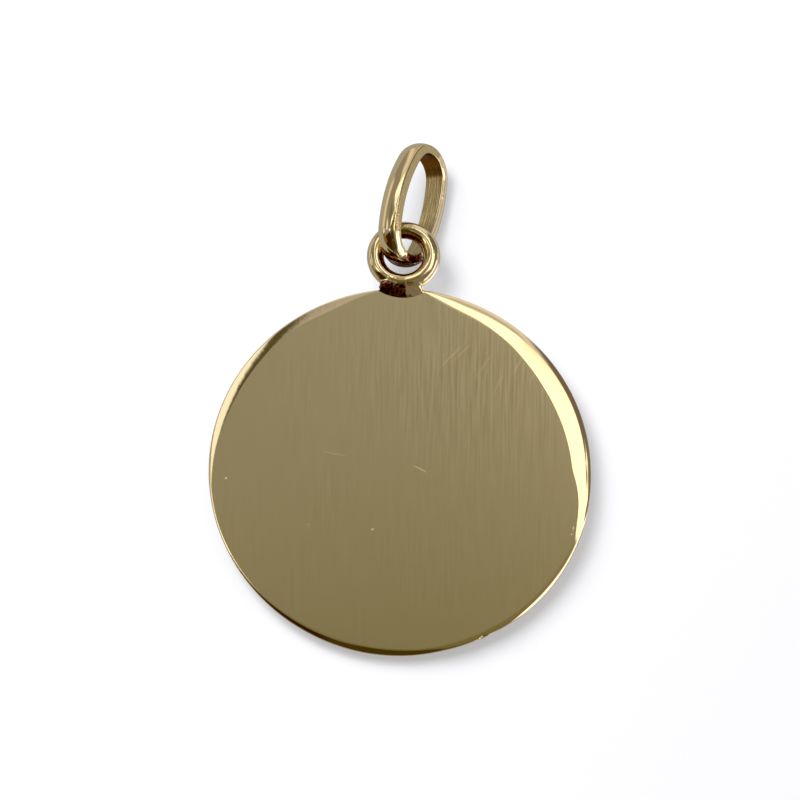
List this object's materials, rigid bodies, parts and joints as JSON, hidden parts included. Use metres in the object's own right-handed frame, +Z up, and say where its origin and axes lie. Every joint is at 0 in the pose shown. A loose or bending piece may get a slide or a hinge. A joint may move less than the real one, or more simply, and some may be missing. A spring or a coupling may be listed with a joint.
{
  "type": "gold medal pendant",
  "caption": "Plain round gold medal with a soldered eye ring and an oval bail link for a neck chain, lying face up.",
  "frame": {"origin": "middle of the pendant's footprint, on the surface it lies on", "axes": "+Z up from the surface, +Y from the medal towards the bail, +X to the right when the medal's face is seen with the bail at the top"},
  "size_m": [0.018, 0.0256, 0.0034],
  "materials": {
    "satin_gold": "satin-polished yellow gold",
    "polished_gold": "polished yellow gold, lightly worn"
  },
  "bodies": {
    "root": {"medal": "satin_gold", "bail": "polished_gold"}
  },
  "joints": []
}
